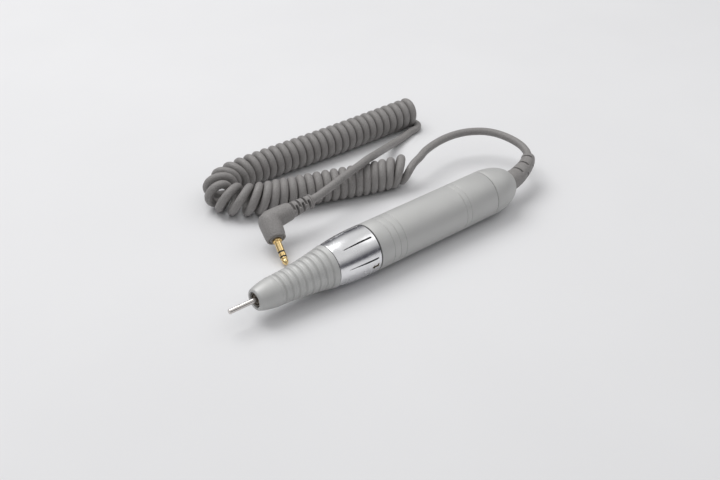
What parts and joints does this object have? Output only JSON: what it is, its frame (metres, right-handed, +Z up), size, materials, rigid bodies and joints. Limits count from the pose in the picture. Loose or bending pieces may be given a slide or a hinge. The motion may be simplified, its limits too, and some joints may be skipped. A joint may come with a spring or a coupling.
{
  "type": "electric nail-drill handpiece",
  "caption": "Silver nail-drill handpiece with ribbed grip, twist-lock chrome collar, test pin in its collet, and a grey curly cord with a right-angle jack plug.",
  "frame": {"origin": "on the surface the handpiece lies on, under the middle of the handpiece with its strain relief", "axes": "+X along the handpiece from the bit to the cord, +Z up, +Y towards the curly cord"},
  "size_m": [0.2076, 0.1222, 0.024],
  "materials": {
    "silver_paint": "satin silver paint",
    "chrome": "polished",
    "steel": "turned",
    "bright_steel": "ground",
    "brass": "turned",
    "gold_plate": "gold plated",
    "copper": null,
    "black_plastic": "smooth",
    "dark_ferrite": null,
    "white_plastic": "moulded",
    "red_wire": "insulated wire",
    "grey_cord": "satin grey moulded sheath"
  },
  "bodies": {
    "handpiece": {"nose_cone": "silver_paint", "front_seal_ring": "black_plastic", "rear_seal_ring": "black_plastic", "barrel": "silver_paint", "rear_cap": "silver_paint", "spindle_housing": "steel", "front_bearing_outer": "steel", "rear_bearing_outer": "steel", "motor_mount": "white_plastic", "motor_can": "steel", "motor_screw_1": "steel", "motor_screw_2": "steel", "magnet_1": "dark_ferrite", "magnet_2": "dark_ferrite", "motor_front_bush": "brass", "motor_rear_bush": "brass", "motor_end_bell": "white_plastic", "brush_spring_1": "bright_steel", "brush_spring_2": "bright_steel", "lead_wire_1": "red_wire", "lead_wire_2": "black_plastic", "cord_clamp": "steel", "strain_relief": "grey_cord", "cord_lead": "grey_cord", "curly_cord": "grey_cord", "cord_tail": "grey_cord", "plug_body": "grey_cord", "plug_sleeve": "gold_plate", "plug_ring": "gold_plate", "plug_tip": "gold_plate", "plug_insulator_1": "black_plastic", "plug_insulator_2": "black_plastic"},
    "collar": {"twist_collar": "chrome", "cam_ring": "steel"},
    "cam_slider": {"cam_sleeve": "steel"},
    "spindle": {"spindle": "bright_steel", "spindle_fork": "steel", "front_bearing_inner": "steel", "rear_bearing_inner": "steel"},
    "ball_cages": {"front_ball_cage": "brass", "rear_ball_cage": "brass"},
    "collet": {"collet": "bright_steel", "drawbar": "steel", "drawbar_nut": "steel", "drawbar_spring": "bright_steel"},
    "bit_pin": {"bit_pin": "bright_steel"},
    "armature": {"motor_shaft": "bright_steel", "armature_core": "steel", "winding_1": "copper", "winding_2": "copper", "winding_3": "copper", "commutator_hub": "white_plastic", "commutator_segment_1": "copper", "commutator_segment_2": "copper", "commutator_segment_3": "copper", "drive_coupling": "white_plastic"},
    "brush_1": {"brush_1": "dark_ferrite"},
    "brush_2": {"brush_2": "dark_ferrite"}
  },
  "joints": [
    {"name": "collar_turn", "type": "hinge", "parent": "handpiece", "child": "collar", "pos_m": [0, 0, 0.012], "axis": [1, 0, 0], "range_deg": [0, 40]},
    {"name": "cam_sleeve_slide", "type": "slide", "parent": "handpiece", "child": "cam_slider", "axis": [-1, 0, 0], "range_m": [0, 0.001]},
    {"name": "armature_turn", "type": "hinge", "parent": "handpiece", "child": "armature", "pos_m": [0, 0, 0.012], "axis": [1, 0, 0], "continuous": true},
    {"name": "spindle_turn", "type": "hinge", "parent": "handpiece", "child": "spindle", "pos_m": [0, 0, 0.012], "axis": [1, 0, 0], "continuous": true},
    {"name": "cage_turn", "type": "hinge", "parent": "handpiece", "child": "ball_cages", "pos_m": [0, 0, 0.012], "axis": [1, 0, 0], "continuous": true},
    {"name": "collet_slide", "type": "slide", "parent": "spindle", "child": "collet", "axis": [-1, 0, 0], "range_m": [0, 0.001]},
    {"name": "bit_pin_pull", "type": "slide", "parent": "collet", "child": "bit_pin", "axis": [-1, 0, 0], "range_m": [0, 0.016]},
    {"name": "brush_1_slide", "type": "slide", "parent": "handpiece", "child": "brush_1", "axis": [0, 0, 1], "range_m": [0, 0.0005], "stiffness_N_per_m": 100, "springref_m": -0.003, "deforming": ["brush_spring_1"]},
    {"name": "brush_2_slide", "type": "slide", "parent": "handpiece", "child": "brush_2", "axis": [0, 0, -1], "range_m": [0, 0.0005], "stiffness_N_per_m": 100, "springref_m": -0.003, "deforming": ["brush_spring_2"]}
  ],
  "couplings": [
    {"joint": "cam_sleeve_slide", "follows": "collar_turn", "m_per_rad": 0.001432},
    {"joint": "collet_slide", "follows": "collar_turn", "m_per_rad": 0.001432},
    {"joint": "spindle_turn", "follows": "armature_turn", "ratio": 1},
    {"joint": "cage_turn", "follows": "armature_turn", "ratio": 0.44}
  ]
}
